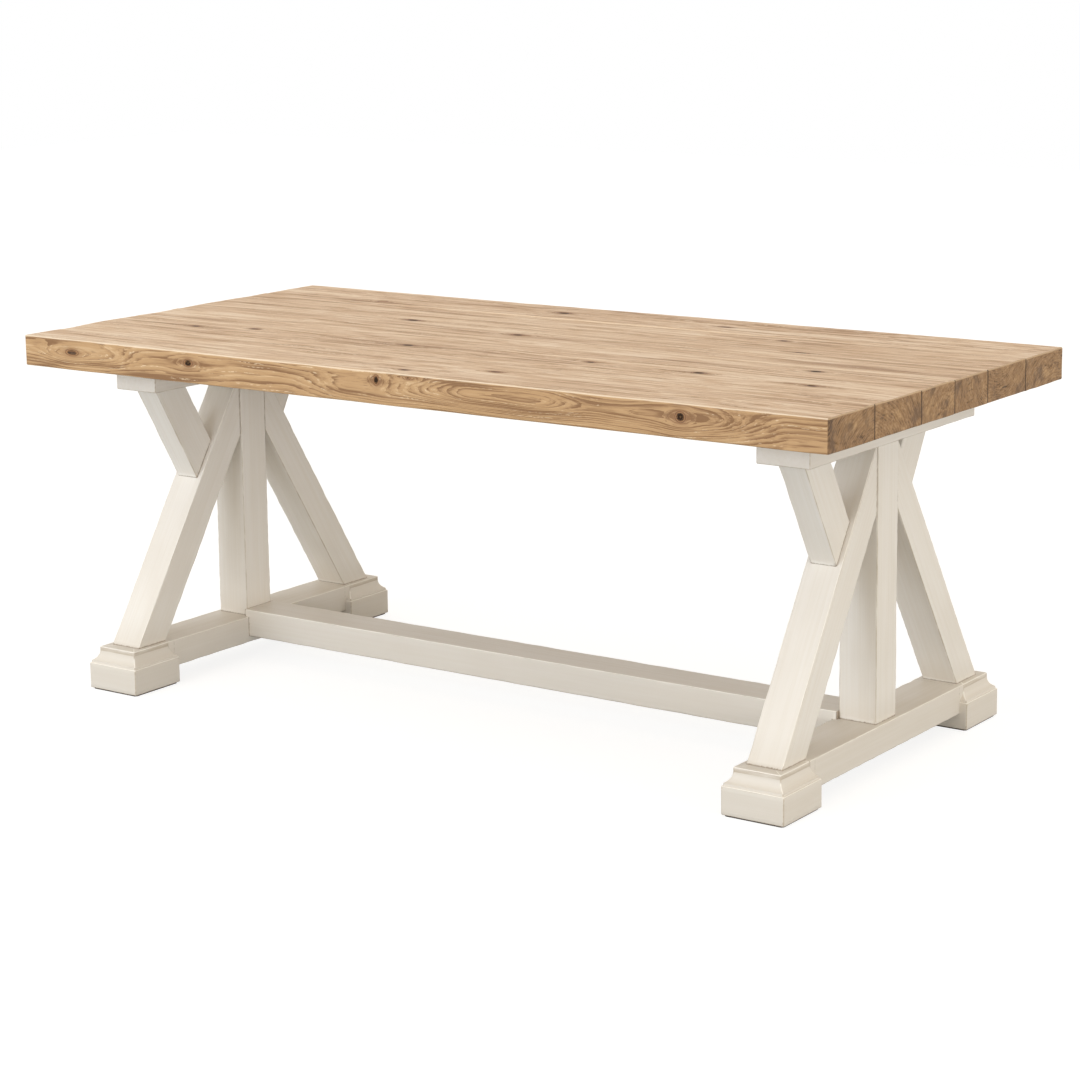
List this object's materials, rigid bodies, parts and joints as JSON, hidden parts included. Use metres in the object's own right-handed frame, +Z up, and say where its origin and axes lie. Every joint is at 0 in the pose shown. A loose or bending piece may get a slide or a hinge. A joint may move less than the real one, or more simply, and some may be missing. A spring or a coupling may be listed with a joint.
{
  "type": "trestle dining table",
  "caption": "Rectangular trestle dining table: thick plank top carried on braced A-shaped trestles with moulded plinth feet, tied together by a low stretcher.",
  "frame": {"origin": "on the floor, under the middle of the top", "axes": "+X along the table to the right, +Y across it to the back, +Z up"},
  "size_m": [1.93, 0.94, 0.762],
  "materials": {
    "oak": "washed oak, matt oil",
    "painted_wood": "antique-white paint, brushed on and rubbed through at the edges",
    "inner_wood": "bare beech",
    "zinc_steel": "zinc-plated steel",
    "felt": "dark pressed felt"
  },
  "bodies": {
    "root": {"top_plank_1": "oak", "top_plank_2": "oak", "top_plank_3": "oak", "top_plank_4": "oak", "top_plank_5": "oak", "top_plank_6": "oak", "top_tongue_1": "inner_wood", "top_tongue_2": "inner_wood", "top_tongue_3": "inner_wood", "top_tongue_4": "inner_wood", "top_tongue_5": "inner_wood", "left_bearer": "painted_wood", "left_post": "painted_wood", "left_base_rail": "painted_wood", "left_front_leg": "painted_wood", "left_front_brace": "painted_wood", "left_front_foot": "painted_wood", "left_front_floor_pad": "felt", "left_back_leg": "painted_wood", "left_back_brace": "painted_wood", "left_back_foot": "painted_wood", "left_back_floor_pad": "felt", "left_leg_tenons": "inner_wood", "left_brace_tenons": "inner_wood", "left_bearer_screws": "zinc_steel", "left_stretcher_pegs": "inner_wood", "right_bearer": "painted_wood", "right_post": "painted_wood", "right_base_rail": "painted_wood", "right_front_leg": "painted_wood", "right_front_brace": "painted_wood", "right_front_foot": "painted_wood", "right_front_floor_pad": "felt", "right_back_leg": "painted_wood", "right_back_brace": "painted_wood", "right_back_foot": "painted_wood", "right_back_floor_pad": "felt", "right_leg_tenons": "inner_wood", "right_brace_tenons": "inner_wood", "right_bearer_screws": "zinc_steel", "right_stretcher_pegs": "inner_wood", "stretcher": "painted_wood"}
  },
  "joints": []
}
